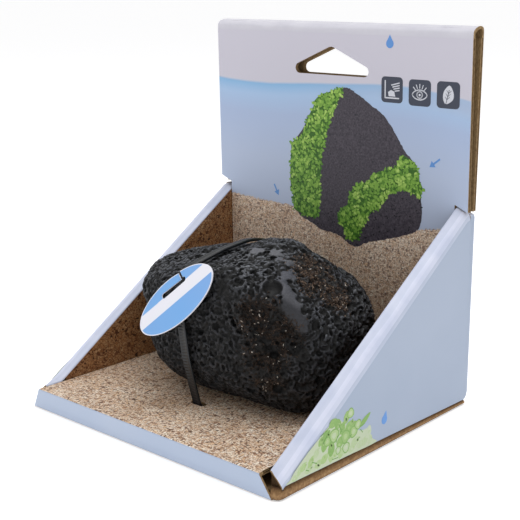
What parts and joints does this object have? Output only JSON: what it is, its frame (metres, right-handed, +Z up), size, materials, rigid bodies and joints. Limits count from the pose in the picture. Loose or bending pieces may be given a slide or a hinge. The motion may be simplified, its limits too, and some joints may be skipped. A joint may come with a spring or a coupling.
{
  "type": "lava rock in display carton",
  "caption": "Black vesicular lava rock strapped with a cable tie and hang tag into an open corrugated display carton with a tall hanging header.",
  "frame": {"origin": "on the surface the carton stands on, under the middle of its box", "axes": "+Z up, -Y towards the open front of the tray, +X to the viewer's right"},
  "size_m": [0.12, 0.1102, 0.1383],
  "materials": {
    "kraft_board": "matte",
    "printed_board": "satin",
    "sand_print": "satin",
    "lava_stone": "matte",
    "black_nylon": "satin",
    "tag_card": "satin"
  },
  "bodies": {
    "root": {"base_panel": "kraft_board", "front_lip": "printed_board", "floor_panel": "sand_print", "header_front_panel": "printed_board", "header_top_fold": "printed_board", "header_back_panel": "kraft_board", "gusset_outer_left": "printed_board", "gusset_outer_right": "printed_board", "gusset_fold_left": "printed_board", "gusset_fold_right": "printed_board", "gusset_inner_left": "sand_print", "gusset_inner_right": "sand_print", "lava_rock": "lava_stone", "cable_tie": "black_nylon", "tag": "tag_card"}
  },
  "joints": []
}
